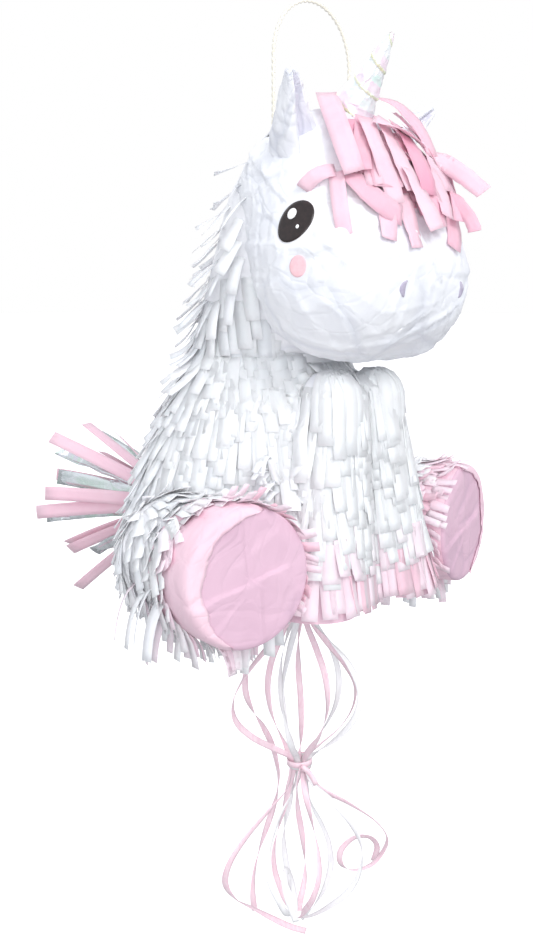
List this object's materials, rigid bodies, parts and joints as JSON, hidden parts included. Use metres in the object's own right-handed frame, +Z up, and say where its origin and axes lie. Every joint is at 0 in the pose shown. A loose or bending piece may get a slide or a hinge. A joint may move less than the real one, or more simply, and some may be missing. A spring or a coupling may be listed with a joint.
{
  "type": "unicorn pull-ribbon pinata",
  "caption": "Sitting baby unicorn pinata of paper-wrapped cardboard with tissue fringe, foil horn, hanging loop, pull ribbons, trap door in the base and filling flap at the back.",
  "frame": {"origin": "inner top of the hanging loop's arch, where a hook or line carries the pinata", "axes": "+Z up, the unicorn faces -Y, its right side is -X, and the loop's arch lies in the XZ plane's direction"},
  "size_m": [0.3398, 0.3752, 0.7074],
  "materials": {
    "string": "thin twisted cotton-like string, matt",
    "dowel_wood": "plain sanded softwood",
    "raw_cardboard": "bare brown corrugated cardboard",
    "wrapped_cardboard": "cardboard wrapped in white paper, matt",
    "head_card": "moulded card wrapped in smooth creased white paper, faint sheen",
    "wrapping_paper": "smooth white wrapping paper with creases, faint sheen",
    "ear_lining": "pale lavender-grey paper, matt",
    "pearl_foil": "pearl foil paper that shifts between pink, mint and white",
    "tissue_pink": "soft pink tissue strips, matt",
    "tissue_pale_pink": "very pale pink tissue, matt",
    "tissue_white": "white tissue fringe, matt",
    "sole_lilac": "dusty lilac-pink tissue with creases",
    "sticker_dark": "black-brown printed paper sticker",
    "sticker_white": "white printed spot",
    "sticker_pink": "pink printed paper dot",
    "sticker_mauve": "grey-mauve printed mark",
    "tape_paper": "thin pale paper tape",
    "ribbon_pink": "thin pink curling ribbon, satin",
    "ribbon_white": "thin white curling ribbon, satin"
  },
  "bodies": {
    "hanger": {"hanging_loop": "string", "string_eyes": "string"},
    "pinata": {"hanger_dowel": "dowel_wood", "dowel_pads": "raw_cardboard", "body_shell": "wrapped_cardboard", "chest_panel": "wrapped_cardboard", "base_plate": "raw_cardboard", "neck_shell": "wrapped_cardboard", "head_shell": "head_card", "ear_right": "wrapping_paper", "ear_left": "wrapping_paper", "ear_inner_right": "ear_lining", "ear_inner_left": "ear_lining", "horn_cone": "pearl_foil", "horn_collar": "tissue_pink", "eye_right": "sticker_dark", "eye_left": "sticker_dark", "eye_shine_right": "sticker_white", "eye_shine_left": "sticker_white", "cheek_right": "sticker_pink", "cheek_left": "sticker_pink", "nostril_right": "sticker_mauve", "nostril_left": "sticker_mauve", "forelock": "tissue_pink", "front_leg_right": "wrapped_cardboard", "front_leg_left": "wrapped_cardboard", "front_hoof_right": "tissue_pink", "front_hoof_left": "tissue_pink", "hind_leg_right": "wrapped_cardboard", "hind_leg_left": "wrapped_cardboard", "hind_foot_right": "tissue_pale_pink", "hind_foot_left": "tissue_pale_pink", "sole_right": "sole_lilac", "sole_left": "sole_lilac", "body_fringe": "tissue_white", "tail_core": "tissue_pink", "tail_strips": "tissue_pink", "decoy_patch": "tape_paper", "door_hinge_tape": "tape_paper"},
    "trap_door": {"trap_door": "raw_cardboard", "door_tab": "tape_paper"},
    "fill_flap": {"fill_flap": "wrapped_cardboard", "flap_fringe": "tissue_white", "flap_tab": "tape_paper"},
    "release_ribbon": {"release_ribbon": "ribbon_pink"},
    "decoy_ribbons": {"ribbon_pad": "tape_paper", "ribbon_tie": "ribbon_pink", "decoy_ribbon_1": "ribbon_pink", "decoy_ribbon_2": "ribbon_white", "decoy_ribbon_3": "ribbon_pink", "decoy_ribbon_4": "ribbon_white", "decoy_ribbon_5": "ribbon_pink", "decoy_ribbon_6": "ribbon_white", "decoy_ribbon_7": "ribbon_pink", "decoy_ribbon_8": "ribbon_white", "decoy_ribbon_9": "ribbon_pink"}
  },
  "joints": [
    {"name": "body_swing", "type": "hinge", "parent": "hanger", "child": "pinata", "pos_m": [0, -0.021, -0.1215], "axis": [1, 0, 0], "range_deg": [-12, 12]},
    {"name": "trap_hinge", "type": "hinge", "parent": "pinata", "child": "trap_door", "pos_m": [0, 0.0983, -0.4195], "axis": [1, 0, 0], "range_deg": [0, 95]},
    {"name": "release_hang", "type": "hinge", "parent": "trap_door", "child": "release_ribbon", "pos_m": [0, 0.024, -0.4235], "axis": [1, 0, 0], "range_deg": [-95, 0]},
    {"name": "flap_hinge", "type": "hinge", "parent": "pinata", "child": "fill_flap", "pos_m": [0, 0.0842, -0.2533], "axis": [1, 0, 0], "range_deg": [0, 100]},
    {"name": "decoy_pull", "type": "slide", "parent": "pinata", "child": "decoy_ribbons", "axis": [0, 0, -1], "range_m": [0, 0.06]}
  ],
  "couplings": [
    {"joint": "release_hang", "follows": "trap_hinge", "ratio": -1}
  ]
}
